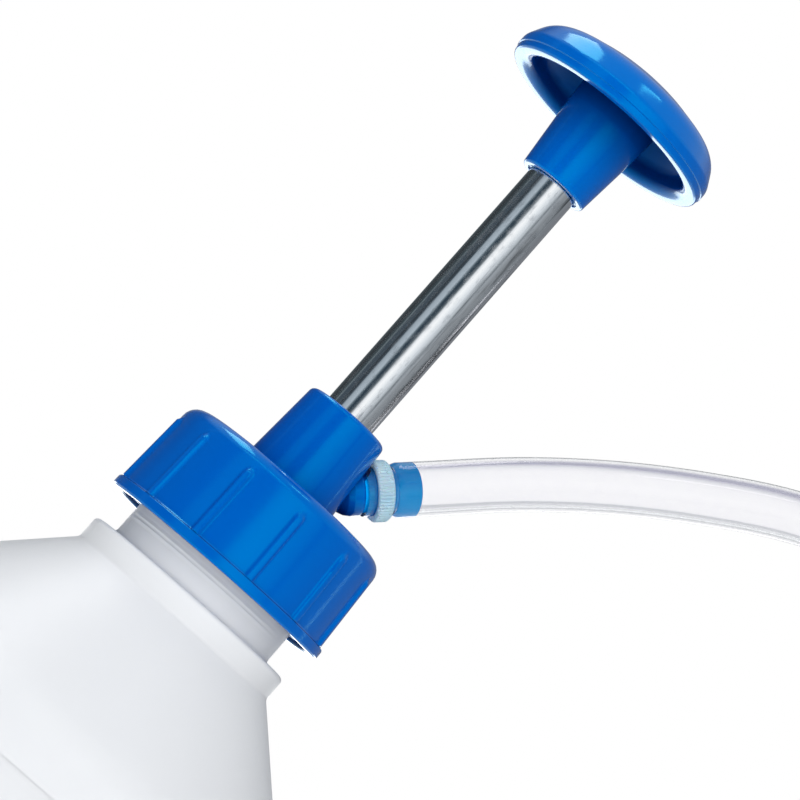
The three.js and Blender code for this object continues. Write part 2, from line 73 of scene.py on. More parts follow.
CAP_LOW = low("screw_cap").z
CAP_TOP = high("screw_cap").z
FLANGE_R = high("screw_cap").x
BOSS_TOP = high("pump_head").z - 1.9  # the outlet's end stands that much higher than the boss
RIM_R = high("handle_knob").x
KNOB_TOP = high("handle_knob").z
STEM_LOW = low("handle_knob").z
RIM_LOW = KNOB_TOP - 16.3  # the crown's underside
ROD_R = high("pump_rod").x
ROD_BORE = ROD_R - 1.2  # radius, with a wall of 1.2
ROD_LOW = low("pump_rod").z
ROD_TOP = high("pump_rod").z
BOTTLE_R = high("bottle").x
NECK_TOP = high("bottle").z
OUTLET_Z = 286  # where the outlet's axis meets the pump axis
OUTLET_TILT = math.radians(43)
OUTLET_AXIS = Vector((math.cos(OUTLET_TILT), 0, math.sin(OUTLET_TILT)))

# ---------------------------------------------------------------- camera

CAMERA_AZIMUTH = math.radians(-20)
CAMERA_DISTANCE = 0.874  # from the pump axis
CAMERA_HEIGHT = 0.2216
AIM_RIGHT = 0.0077  # of the pump axis, as the camera sees it
AIM_HEIGHT = 0.3292
LEAN = math.radians(41.25)  # of the pump axis in the picture, clockwise
LENS = 138.7


def make_camera():
    """A long lens from a little below the cap, rolled so that the pump leans to the right."""
    across = Vector((math.cos(CAMERA_AZIMUTH), math.sin(CAMERA_AZIMUTH), 0))
    ahead = Vector((-math.sin(CAMERA_AZIMUTH), math.cos(CAMERA_AZIMUTH), 0))
    place = -CAMERA_DISTANCE * ahead + Vector((0, 0, CAMERA_HEIGHT))
    target = AIM_RIGHT * across + Vector((0, 0, AIM_HEIGHT))
    look = (target - place).normalized()
    right = look.cross(Vector((0, 0, 1))).normalized()
    up = right.cross(look)
    rolled_right = math.cos(LEAN) * right + math.sin(LEAN) * up
    rolled_up = math.cos(LEAN) * up - math.sin(LEAN) * right
    data = bpy.data.cameras.new("camera")
    data.lens = LENS
    data.sensor_width = 36
    data.clip_start = 0.01
    camera = bpy.data.objects.new("camera", data)
    turn = Matrix((rolled_right, rolled_up, -look)).transposed().to_4x4()
    camera.matrix_world = Matrix.Translation(place) @ turn
    bpy.context.scene.collection.objects.link(camera)
    bpy.context.scene.camera = camera


make_camera()

# ---------------------------------------------------------------- mesh helpers


def new_piece(name, mesh_data):
    """A new object in the scene."""
    piece = bpy.data.objects.new(name, mesh_data)
    bpy.context.scene.collection.objects.link(piece)
    return piece


def shade(piece, degrees=32):
    """Smooth shading with crisp edges where faces meet at more than that angle."""
    mesh = piece.data
    mesh.shade_smooth()
    mesh.set_sharp_from_angle(angle=math.radians(degrees))
    return piece


def finished(name, mesh):
    """A new shaded object from a bmesh, which is freed."""
    data = bpy.data.meshes.new(name)
    mesh.to_mesh(data)
    mesh.free()
    return shade(new_piece(name, data))


def rounded(corners, closed=True, steps=5):
    """An outline of (r, z) points from corners (r, z, radius), with an arc at each that has a radius."""
    points = []
    count = len(corners)
    for i, corner in enumerate(corners):
        here = Vector(corner[:2])
        radius = corner[2] if len(corner) > 2 else 0
        at_end = not closed and i in (0, count - 1)
        if radius == 0 or at_end:
            points.append(here)
            continue
        before = (Vector(corners[i - 1][:2]) - here).normalized()
        after = (Vector(corners[(i + 1) % count][:2]) - here).normalized()
        half = before.angle(after) / 2
        reach = radius / math.tan(half)
        centre = here + (before + after).normalized() * (radius / math.sin(half))
        first = here + before * reach - centre
        last = here + after * reach - centre
        sweep = first.angle_signed(last)
        for k in range(steps + 1):
            points.append(centre + Matrix.Rotation(-sweep * k / steps, 2) @ first)
    return points


def dense(points, longest, closed=False):
    """The outline with extra points, so that no side is longer than that."""
    result = []
    path = points + points[:1] if closed else points
    for here, there in zip(path, path[1:]):
        parts = max(1, math.ceil((there - here).length / longest))
        result += [here.lerp(there, k / parts) for k in range(parts)]
    return result if closed else result + [points[-1]]


def turned(name, outline, segments, relief=None, place=None):
    """A turned piece from an outline of (r, z) in millimetres. An outline off the axis closes on itself.
    relief(angle, r, z) says how far a point stands proud, in millimetres, along its radius."""
    mesh = bmesh.new()
    on_axis = 1e-6
    open_ended = outline[0].x < on_axis and outline[-1].x < on_axis
    rings = []
    for point in outline:
        if point.x < on_axis:
            rings.append([mesh.verts.new((0, 0, point.y * MM))] * segments)
            continue
        ring = []
        for k in range(segments):
            angle = 2 * math.pi * k / segments
            r = point.x + (relief(angle, point.x, point.y) if relief else 0)
            ring.append(mesh.verts.new((r * math.cos(angle) * MM, r * math.sin(angle) * MM, point.y * MM)))
        rings.append(ring)
    pairs = list(zip(rings, rings[1:])) + ([] if open_ended else [(rings[-1], rings[0])])
    for lower, upper in pairs:
        for k in range(segments):
            n = (k + 1) % segments
            corners = []
            for vertex in (lower[k], lower[n], upper[n], upper[k]):
                if vertex not in corners:
                    corners.append(vertex)
            if len(corners) > 2:
                mesh.faces.new(corners)
    if place:
        mesh.transform(place)
    return finished(name, mesh)


def bar(name, size, place, bevel):
    """A box of that size in millimetres with rounded edges, moved by a matrix."""
    mesh = bmesh.new()
    bmesh.ops.create_cube(mesh, size=1)
    bmesh.ops.scale(mesh, vec=Vector(size) * MM, verts=mesh.verts)
    bmesh.ops.bevel(mesh, geom=mesh.edges[:], offset=bevel * MM, segments=3, affect="EDGES")
    mesh.transform(place)
    return finished(name, mesh)


def joined(name, pieces):
    """Several pieces as one object."""
    mesh = bmesh.new()
    for piece in pieces:
        mesh.from_mesh(piece.data)
        bpy.data.objects.remove(piece)
    return finished(name, mesh)


def smooth_step(value, start, end):
    """0 before start, 1 after end, and smooth between."""
    t = min(1, max(0, (value - start) / (end - start)))
    return t * t * (3 - 2 * t)


def turn_to(angle_degrees):
    """Rotation about the pump axis."""
    return Matrix.Rotation(math.radians(angle_degrees), 4, "Z")


def shift(x, y, z):
    """A move in millimetres."""
    return Matrix.Translation(Vector((x, y, z)) * MM)


# ---------------------------------------------------------------- hose route

HOSE_R = 8
HOSE_BORE = 6  # radius
COIL_X = (low("hose_coil").x + high("hose_coil").x) / 2
COIL_REST = low("hose_coil").z + HOSE_R  # centre line of the lowest layer
COIL_LAYER = 2 * HOSE_R  # height of one turn on the next
TOUCHDOWN = 88  # radius at which the hose meets the coil
DRAWN_IN = 16  # over the first turn, which then passes inside the hose's way down
STEP_OUT = 8  # of the second turn, to lie on the start of the first one
STEP_IN = 7  # of the second turn, to lie on the end of the first one
BEND = 66  # radius of the bend above the floor
COIL_TURN = math.radians(750)
COIL_STEPS = 44
SPACING = 3.5  # of the points along the centre line
FIRST_SPACING = 1  # where the ring nips the hose

# The free stretch, as in part.mjs: from the hose's end on the outlet to the top of the coil.
HOSE_ROUTE = [
    (17.9, 0, 302.7),
    (31.6, 0, 315.5),
    (53.7, 0, 336.1),
    (76.2, 0, 354.1),
    (100.8, 0, 370.9),
    (127.6, 0, 386.5),
    (156, 0, 398.2),
    (184, -2, 402.6),
    (211, -5, 398.6),
    (235, -10, 384.6),
    (253, -17, 362),
    (263, -25, 333),
    (266, -34, 300),
    (266, -43, 262),
    (266, -51, 220),
    (266, -58, 175),
    (266, -64, 128),
    (266, -66, 92),
    (266, -66, 75.1),
    (266, -62.9, 55.1),
    (266, -54, 37.2),
]


def coil_point(angle):
    """Centre line of the coil: one turn on the floor, one on top of it, and the hose's end on both."""
    degrees = math.degrees(angle)
    r = TOUCHDOWN - DRAWN_IN * smooth_step(degrees, 0, 360)
    r += STEP_OUT * smooth_step(degrees, 380, 460) - STEP_IN * smooth_step(degrees, 540, 620)
    z = COIL_REST + COIL_LAYER * (smooth_step(degrees, 290, 400) + smooth_step(degrees, 640, 745))
    return Vector((COIL_X + r * math.cos(angle), r * math.sin(angle), z))


def hose_points():
    """The whole centre line, in millimetres."""
    points = [Vector(p) for p in HOSE_ROUTE]
    for degrees in (37, 19):  # what is left of the bend on to the floor
        bend = math.radians(degrees)
        z = COIL_REST + BEND * (1 - math.cos(bend))
        points.append(Vector((COIL_X + TOUCHDOWN, -BEND * math.sin(bend), z)))
    return points + [coil_point(COIL_TURN * k / COIL_STEPS) for k in range(COIL_STEPS + 1)]


def spline(points):
    """Points along a smooth curve through the given ones, closer together at the start."""
    ends = [2 * points[0] - points[1]] + points + [2 * points[-1] - points[-2]]
    result = []
    for i, (a, b, c, d) in enumerate(zip(ends, ends[1:], ends[2:], ends[3:])):
        parts = max(2, round((c - b).length / (SPACING if i else FIRST_SPACING)))
        knots = [0.0]
        for start, end in ((a, b), (b, c), (c, d)):
            knots.append(knots[-1] + math.sqrt((end - start).length))
        for k in range(parts):
            t = knots[1] + (knots[2] - knots[1]) * k / parts
            result.append(centripetal(t, knots, (a, b, c, d)))
    return result + [points[-1]]


def centripetal(t, knots, points):
    """A point on the centripetal Catmull-Rom curve between the middle two of four points."""

    def mix(first, second, start, end):
        return first.lerp(second, (t - start) / (end - start))

    sides = [mix(points[i], points[i + 1], knots[i], knots[i + 1]) for i in range(3)]
    inner = [mix(sides[i], sides[i + 1], knots[i], knots[i + 2]) for i in range(2)]
    return mix(inner[0], inner[1], knots[1], knots[2])


ROUTE = spline(hose_points())


def swept(name, route, outer, inner, squeeze, sides=32):
    """A pipe along the route, in millimetres: an outer wall, an inner wall and an annular face at each end.
    squeeze(distance) says how much smaller the outer wall is at that distance along the route."""
    tangents = []
    for i in range(len(route)):
        a = route[max(0, i - 1)]
        b = route[min(len(route) - 1, i + 1)]
        tangents.append((b - a).normalized())
    normal = tangents[0].orthogonal().normalized()
    rings = {outer: [], inner: []}
    mesh = bmesh.new()
    travelled = 0.0
    for i, (point, tangent) in enumerate(zip(route, tangents)):
        travelled += (point - route[max(0, i - 1)]).length
        normal = (normal - tangent * normal.dot(tangent)).normalized()
        other = tangent.cross(normal)
        for radius in (outer, inner):
            ring = []
            here = radius - (squeeze(travelled) if radius == outer else 0)
            for k in range(sides):
                angle = 2 * math.pi * k / sides
                offset = here * (math.cos(angle) * normal + math.sin(angle) * other)
                ring.append(mesh.verts.new((point + offset) * MM))
            rings[radius].append(ring)
    for radius, flip in ((outer, False), (inner, True)):
        for first, second in zip(rings[radius], rings[radius][1:]):
            for k in range(sides):
                n = (k + 1) % sides
                corners = [first[k], first[n], second[n], second[k]]
                mesh.faces.new(corners[::-1] if flip else corners)
    for end, flip in ((0, False), (-1, True)):
        for k in range(sides):
            n = (k + 1) % sides
            bore, rim = rings[inner][end], rings[outer][end]
            corners = [bore[k], bore[n], rim[n], rim[k]]
            mesh.faces.new(corners[::-1] if flip else corners)
    return finished(name, mesh)


# ---------------------------------------------------------------- materials


class Nodes:
    """A short way to wire a material's nodes."""

    def __init__(self, name):
        self.material = bpy.data.materials.new(name)
        self.material.use_nodes = True
        self.tree = self.material.node_tree
        self.shader = self.tree.nodes["Principled BSDF"]

    def add(self, kind, inputs=(), **settings):
        """A node of that kind, with its settings and inputs (values or other nodes' sockets)."""
        node = self.tree.nodes.new(kind)
        for key, value in settings.items():
            setattr(node, key, value)
        for key, value in dict(inputs).items():
            self.put(node.inputs[key], value)
        return node

    def put(self, socket, value):
        """Sets a socket to a value, or links it."""
        if isinstance(value, bpy.types.NodeSocket):
            self.tree.links.new(value, socket)
        else:
            socket.default_value = value

    def surface(self, **inputs):
        """Sets the shader's inputs, with underscores for spaces."""
        for key, value in inputs.items():
            self.put(self.shader.inputs[key.replace("_", " ")], value)

    def object_coordinates(self, scale=(1, 1, 1)):
        """Object coordinates, stretched along each axis."""
        place = self.add("ShaderNodeTexCoord").outputs["Object"]
        return self.add("ShaderNodeMapping", {"Vector": place, "Scale": scale}).outputs["Vector"]

    def noise(self, scale, stretch=(1, 1, 1), detail=3.0, roughness=0.5):
        """Noise in object coordinates, from 0 to 1."""
        inputs = {
            "Vector": self.object_coordinates(stretch),
            "Scale": scale,
            "Detail": detail,
            "Roughness": roughness,
        }
        return self.add("ShaderNodeTexNoise", inputs).outputs["Fac"]

    def ramp(self, value, first, last, at=(0.0, 1.0)):
        """Value mapped from one colour or grey to another between two places."""
        node = self.add("ShaderNodeValToRGB", {"Fac": value})
        for element, place, colour in zip(node.color_ramp.elements, at, (first, last)):
            element.position = place
            element.color = grey(colour) if isinstance(colour, float) else (*colour, 1)
        return node.outputs["Color"]

    def open_sky(self, reach):
        """How open a point is, 0 in a hollow that is narrower than that reach (metres) and 1 outside."""
        settings = {"samples": 12, "only_local": True}
        return self.add("ShaderNodeAmbientOcclusion", {"Distance": reach}, **settings).outputs["AO"]

    def blended(self, factor, first, second, blend="MIX"):
        """Two colours mixed by a factor."""
        mix = self.add("ShaderNodeMix", data_type="RGBA", blend_type=blend)
        for key, value in {"Factor_Float": factor, "A_Color": first, "B_Color": second}.items():
            self.put(next(socket for socket in mix.inputs if socket.identifier == key), value)
        return next(socket for socket in mix.outputs if socket.identifier == "Result_Color")

    def shaded(self, colour, reach, deepest):
        """The colour with painted shade: darker in hollows and corners."""
        shadow = self.ramp(self.open_sky(reach), deepest, 1.0, (0.3, 0.85))
        return self.blended(1.0, colour, shadow, "MULTIPLY")

    def bump(self, height, distance, strength=1.0):
        """A bump from a height, with its depth in metres."""
        inputs = {"Height": height, "Distance": distance, "Strength": strength}
        return self.add("ShaderNodeBump", inputs).outputs["Normal"]


def grey(value):
    """A grey as four numbers."""
    return (value, value, value, 1)


BARB_START = (23.8 + OUTLET_Z * math.sin(OUTLET_TILT)) * MM  # along the outlet's axis, from the origin: where the barb's painted light begins
BARB_OUT = 15.5 * MM  # from the pump axis: just outside the boss; the barb's painted light lies beyond this
HOLLOW = 0.03  # metres: a hollow narrower than this gets painted shade, darker and less glossy


def blue_plastic(name, barb=False):
    """Glossy moulded blue with faint flow marks and painted shade in hollows. The barb inside the hose is
    painted a lighter blue as painted light.
    """
    m = Nodes(name)
    flow = m.noise(18, (1, 1, 0.25))
    speck = m.noise(900, detail=2.0)
    peel = m.bump(m.noise(220), 0.00004, 0.3)
    colour = m.ramp(flow, (0.0, 0.082, 0.43), (0.0, 0.112, 0.5), (0.3, 0.7))
    # painted shade: the blue darkens in hollows and corners
    colour = m.shaded(colour, HOLLOW, (0.04, 0.1, 0.2))
    # painted light: past these bounds the barb inside the hose is coloured a lighter, brighter blue
    if barb:
        flat = m.add("ShaderNodeVectorMath", {0: m.object_coordinates((1, 1, 0))}, operation="LENGTH")
        outside = m.add("ShaderNodeMath", {0: flat.outputs["Value"], 1: BARB_OUT}, operation="GREATER_THAN")
        outlet = {0: m.object_coordinates(), 1: OUTLET_AXIS}
        along = m.add("ShaderNodeVectorMath", outlet, operation="DOT_PRODUCT").outputs["Value"]
        beyond = m.add("ShaderNodeMath", {0: along, 1: BARB_START}, operation="GREATER_THAN")
        painted_barb_light = {0: outside.outputs[0], 1: beyond.outputs[0]}
        painted_barb_light = m.add("ShaderNodeMath", painted_barb_light, operation="MULTIPLY").outputs[0]
        colour = m.blended(painted_barb_light, colour, (0.0, 0.38, 0.98, 1.0))
    # painted shade on the gloss as well: hollows reflect less
    gloss = {0: m.ramp(m.open_sky(HOLLOW), 0.0, 1.0, (0.4, 0.85)), 1: 0.5, 2: 1.02}
    m.surface(
        Base_Color=colour,
        Roughness=m.ramp(speck, 0.09, 0.16, (0.3, 0.75)),
        IOR=m.add("ShaderNodeMath", gloss, operation="MULTIPLY_ADD").outputs[0],
        Specular_IOR_Level=0.95,
        Specular_Tint=(0.0, 0.88, 1.0, 1.0),
        Normal=peel,
    )
    return m.material


def bottle_plastic():
    """Milky polyethylene: soft gloss, wavy wall and slightly uneven thickness."""
    m = Nodes("bottle_plastic")
    thickness = m.noise(7, (1, 1, 0.5))
    wave = m.noise(28, detail=1.0)
    grain = m.noise(600, detail=2.0)
    height = m.add("ShaderNodeMath", {0: wave, 1: 6.0}, operation="MULTIPLY").outputs[0]
    height = m.add("ShaderNodeMath", {0: height, 1: grain}, operation="ADD").outputs[0]
    m.surface(
        Base_Color=m.ramp(thickness, (0.70, 0.705, 0.72), (0.765, 0.77, 0.785), (0.3, 0.7)),
        Roughness=m.ramp(grain, 0.34, 0.46, (0.3, 0.7)),
        Subsurface_Weight=0.35,
        Subsurface_Radius=(1.0, 1.0, 1.0),
        Subsurface_Scale=0.006,
        IOR=1.5,
        Normal=m.bump(height, 0.00003, 0.5),
    )
    return m.material


DARK_STREAK_ANGLE = math.radians(-42)  # about Z from +X: the side of the rod where dark streaks are painted as a dark reflection
DARK_STREAK_SIDE = Vector((math.cos(DARK_STREAK_ANGLE), math.sin(DARK_STREAK_ANGLE), 0)) / (ROD_R * MM)


def plated_steel():
    """Bright plating with fine long scratches and speckled wear streaks all round, and dark lines on one side
    as a painted reflection.
    """
    m = Nodes("plated_rod")
    scratches = m.noise(900, (1, 1, 0.02), detail=4.0, roughness=0.6)
    streaks = m.noise(240, (1, 1, 0.06), detail=5.0, roughness=0.7)
    specks = m.noise(700, (1, 1, 0.5), detail=3.0)
    wear = m.add("ShaderNodeMath", {0: streaks, 1: specks}, operation="MULTIPLY").outputs[0]
    colour = m.ramp(wear, (0.84, 0.86, 0.88), (0.55, 0.57, 0.6), (0.26, 0.44))
    # painted reflection: dark lines on one side of the rod only, standing in for the dark band it reflects
    streak_side_inputs = {0: m.object_coordinates(), 1: DARK_STREAK_SIDE}
    side = m.add("ShaderNodeVectorMath", streak_side_inputs, operation="DOT_PRODUCT").outputs["Value"]
    lines = m.ramp(m.noise(420, (1, 1, 0.035), detail=4.0, roughness=0.65), 0.0, 1.0, (0.5, 0.6))
    marks = m.add("ShaderNodeMath", {0: m.ramp(side, 0.0, 0.9, (0.55, 0.8)), 1: lines}, operation="MULTIPLY")
    m.surface(
        Base_Color=m.blended(marks.outputs[0], colour, (0.16, 0.17, 0.18, 1.0)),
        Metallic=1.0,
        Roughness=m.ramp(wear, 0.09, 0.34, (0.2, 0.45)),
        Normal=m.bump(scratches, 0.000012, 0.6),
    )
    return m.material


def ball_steel():
    """Polished ball and ring steel, a little brushed."""
    m = Nodes("steel")
    brush = m.noise(500, (1, 1, 0.1), detail=3.0)
    m.surface(
        Base_Color=m.ramp(brush, (0.5, 0.51, 0.53), (0.66, 0.67, 0.69)),
        Metallic=1.0,
        Roughness=m.ramp(brush, 0.18, 0.3),
    )
    return m.material


def natural_plastic():
    """Uncoloured moulded plastic of the inner parts."""
    m = Nodes("natural_plastic")
    cloud = m.noise(60)
    m.surface(
        Base_Color=m.ramp(cloud, (0.60, 0.62, 0.62), (0.72, 0.73, 0.72), (0.3, 0.7)),
        Roughness=m.ramp(m.noise(400), 0.32, 0.45),
        Subsurface_Weight=0.15,
        Subsurface_Scale=0.002,
        Normal=m.bump(m.noise(300), 0.00003, 0.4),
    )
    return m.material


def seal_rubber():
    """Matt black rubber with a fine grain."""
    m = Nodes("seal_rubber")
    grain = m.noise(700, detail=4.0)
    m.surface(
        Base_Color=m.ramp(grain, (0.012, 0.012, 0.013), (0.03, 0.03, 0.032)),
        Roughness=m.ramp(grain, 0.55, 0.75),
        Normal=m.bump(grain, 0.00006, 0.5),
    )
    return m.material


def strap_web():
    """Woven black strap: ribs across and a fluffy grain."""
    m = Nodes("strap_web")
    weave = m.add(
        "ShaderNodeTexWave",
        {"Vector": m.object_coordinates(), "Scale": 420.0, "Distortion": 1.5, "Detail": 2.0},
        bands_direction="Z",
    ).outputs["Fac"]
    fluff = m.noise(1500, detail=4.0)
    m.surface(
        Base_Color=m.ramp(fluff, (0.012, 0.012, 0.014), (0.05, 0.05, 0.055)),
        Roughness=0.9,
        Sheen_Weight=0.4,
        Sheen_Roughness=0.5,
        Normal=m.bump(weave, 0.0002, 0.6),
    )
    return m.material


def clamp_plastic():
    """Translucent blue-grey plastic of the hose ring."""
    m = Nodes("clamp_plastic")
    cloud = m.noise(150)
    m.surface(
        Base_Color=m.ramp(cloud, (0.58, 0.86, 0.98), (0.74, 0.94, 1.0), (0.3, 0.7)),
        Roughness=m.ramp(m.noise(500), 0.22, 0.36),
        Transmission_Weight=0.45,
        IOR=1.45,
        Subsurface_Weight=0.1,
        Subsurface_Scale=0.001,
        Normal=m.bump(m.noise(400), 0.00003, 0.4),
    )
    return m.material


def clear_hose():
    """Clear soft PVC, very slightly violet, with faint extrusion lines."""
    m = Nodes("clear_hose")
    lines = m.noise(350, detail=2.0)
    m.surface(
        Base_Color=m.ramp(lines, (0.975, 0.973, 0.99), (0.99, 0.99, 1.0), (0.3, 0.7)),
        Roughness=m.ramp(lines, 0.05, 0.12, (0.3, 0.7)),
        Transmission_Weight=0.99,
        IOR=1.34,
        Specular_IOR_Level=0.3,
        Normal=m.bump(lines, 0.00002, 0.3),
    )
    return m.material


MATERIALS = {
    "blue_plastic": blue_plastic("blue_plastic"),
    "blue_head": blue_plastic("blue_head", barb=True),
    "bottle_plastic": bottle_plastic(),
    "plated_rod": plated_steel(),
    "steel": ball_steel(),
    "natural_plastic": natural_plastic(),
    "seal_rubber": seal_rubber(),
    "clamp_plastic": clamp_plastic(),
    "clear_hose": clear_hose(),
    "strap_web": strap_web(),
}


def dress(piece, body, slot, *nodes, material=None):
    """Finish, body and CAD nodes of a piece."""
    piece.data.materials.clear()
    piece.data.materials.append(MATERIALS[material or slot])
    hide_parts(*nodes)
    if body:
        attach(piece, body)
    return piece


# ---------------------------------------------------------------- hose, tie and nozzle


def make_hose():
    """The hose's whole length: over the barb, over the arch, down and round the coil."""
    nip = 0.85  # the knurled ring presses it in by that much, up to its outer face
    nip_ends = (8, 10.5)

    def nipped(distance):
        return nip * (1 - smooth_step(distance, *nip_ends))

    hose = swept("outlet_hose", ROUTE, HOSE_R, HOSE_BORE, nipped)
    dress(hose, None, "clear_hose", "hose_free", "hose_coil")
    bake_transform(hose)
    return hose


def make_tie():
    """A flat strap round the two layers of hose, with its end lapped over."""
    angle = math.radians(100)
    section = [coil_point(angle), coil_point(angle + 2 * math.pi)]
    radii = [(p - Vector((COIL_X, 0, p.z))).length for p in section]
    width = 7
    thick = 0.8
    corner = 7.5
    margin = HOSE_R + 0.15
    left = min(radii) - margin
    right = max(radii) + margin
    bottom = COIL_REST - margin
    top = section[1].z + margin
    corners = [(left, bottom), (right, bottom), (right, top), (left, top)]
    outer = rounded([(*point, corner) for point in corners], steps=8)
    middle = Vector(((left + right) / 2, (bottom + top) / 2))
    mesh = bmesh.new()
    loops = []
    for distance, side in ((thick, -1), (thick, 1), (0, 1), (0, -1)):
        loop = []
        for point in outer:
            away = (point - middle).normalized()
            loop.append(mesh.verts.new(Vector((*(point + away * distance), side * width / 2)) * MM))
        loops.append(loop)
    for i, loop in enumerate(loops):
        following = loops[(i + 1) % len(loops)]
        for k in range(len(loop)):
            n = (k + 1) % len(loop)
            mesh.faces.new((loop[k], loop[n], following[n], following[k]))
    bmesh.ops.recalc_face_normals(mesh, faces=mesh.faces)
    upright = Matrix(((1, 0, 0, 0), (0, 0, -1, 0), (0, 1, 0, 0), (0, 0, 0, 1)))
    place = shift(COIL_X, 0, 0) @ Matrix.Rotation(angle, 4, "Z")
    mesh.transform(place @ upright)
    band = finished("hose_strap_band", mesh)
    lap_place = place @ shift(right + 1.0, 0, (bottom + top) / 2) @ Matrix.Rotation(math.pi / 2, 4, "Y")
    lap = bar("hose_strap_lap", (13, width - 0.4, 0.7), lap_place, 0.25)
    strap = joined("hose_strap", [band, lap])
    return dress(strap, "bottle", "seal_rubber", "hose_tie", material="strap_web")


def make_nozzle():
    """Tapered spout pushed into the hose's far end."""
    ahead = ROUTE[-1] - ROUTE[-2]
    ahead.z = 0
    place = shift(*ROUTE[-1]) @ ahead.to_track_quat("Z", "Y").to_matrix().to_4x4()
    outline = rounded(
        [
            (2.2, -12.0), (5.5, -12.0, 0.5), (5.8, -8.5, 0.2), (5.2, -8.2, 0.2), (5.8, -4.5, 0.2),
            (5.2, -4.2, 0.2), (5.8, 0.3), (7.2, 0.3, 0.5), (7.2, 9.5, 1.0), (6.0, 11.5, 1.0),
            (3.4, 47.8, 0.6), (2.2, 47.8, 0.4),
        ],
    )

    def grip(angle, r, z):  # 16 shallow flutes round the collar
        return 0.25 * math.cos(16 * angle) - 0.25 if r > 7 and 1.5 < z < 9 else 0

    spout = turned("hose_spout", dense(outline, 2.5), 96, grip, place)
    return dress(spout, "bottle", "blue_plastic", "hose_nozzle")


hose = make_hose()
strap = make_tie()
spout = make_nozzle()

# ---------------------------------------------------------------- bottle


def make_bottle():
    """Blow-moulded bottle with a shallow label panel, a collar and a threaded neck."""
    wall = 1.8
    shoulder_top = 240
    collar_r = 35
    collar_top = 247.4
    neck_r = 28.1
    cone = shoulder_top + collar_r  # height plus radius is the same all down the 45 degree shoulder
    panel = 0.7  # depth of the label panel
    outer = [
        (0, 4.0), (51, 4.0, 3), (57.5, 0.0, 2.5), (BOTTLE_R, 0.0, 8), (BOTTLE_R, 26, 3),
        (BOTTLE_R - panel, 27.2, 3), (BOTTLE_R - panel, 183, 3), (BOTTLE_R, 184.2, 3),
        (BOTTLE_R, cone - BOTTLE_R, 14), (collar_r, shoulder_top, 1.6), (collar_r, collar_top, 1.5),
        (neck_r + 0.1, collar_top, 1.3), (neck_r, 257, 0.5), (neck_r, NECK_TOP, 0.6),
    ]
    inner = [
        (26.2, NECK_TOP, 0.6), (26.2, collar_top - wall, 1), (collar_r - wall, collar_top - wall, 1),
        (collar_r - wall, cone - wall * math.sqrt(2) - collar_r + wall, 1),
        (BOTTLE_R - wall, cone - BOTTLE_R + wall - wall * math.sqrt(2), 12),
        (BOTTLE_R - wall - panel, 170, 3), (BOTTLE_R - wall - panel, 40, 3),
        (BOTTLE_R - wall, wall, 7), (59.5, wall, 1), (53, 5.8, 1), (0, 5.8),
    ]
    outline = dense(rounded(outer + inner, closed=False, steps=6), 5)
    neck = [p for p in outline if p.y > collar_top and p.x > 27]
    start = outline.index(neck[0])
    outline[start : start + len(neck)] = dense(neck, 0.4)

    thread_start = 264
    thread_pitch = 5
    thread_turns = 1.75
    run_in = 0.12  # of a turn
    mark_facing = CAMERA_AZIMUTH - math.radians(100)

    def relief(angle, r, z):
        if r < 27.5:
            return 0
        on_neck = r < 30
        proud = 0.0
        if z > 262 and on_neck:  # the thread
            for turn in (angle / (2 * math.pi) + k for k in range(3)):
                away = abs(z - thread_start - thread_pitch * turn)
                ends = smooth_step(turn, 0, run_in) * smooth_step(thread_turns - turn, 0, run_in)
                proud = max(proud, 1.6 * ends * (1 - smooth_step(away, 0.55, 1.2)))
        if 249.5 < z < 256 and on_neck:  # two faint rings under the thread, on one side only
            fade = smooth_step(math.cos(angle - mark_facing), 0.2, 0.75)
            for centre in (253.9, 255.2):
                proud += 0.22 * fade * (1 - smooth_step(abs(z - centre), 0.15, 0.5))
        if z < 256:  # the mould's parting line
            proud += 0.12 * (1 - smooth_step(abs(math.sin(angle)) * r, 0.1, 0.6))
        return proud

    bottle = turned("fluid_bottle", outline, 256, relief)
    return dress(bottle, "bottle", "bottle_plastic", "bottle")


# ---------------------------------------------------------------- screw cap

CAP_SIDE_LOW = 37.0  # radius above the flange
CAP_SIDE_TOP = 35.5  # radius at the top
RIB_COUNT = 12
RIB_TURN = math.radians(23)
GROOVE_TOP = 282


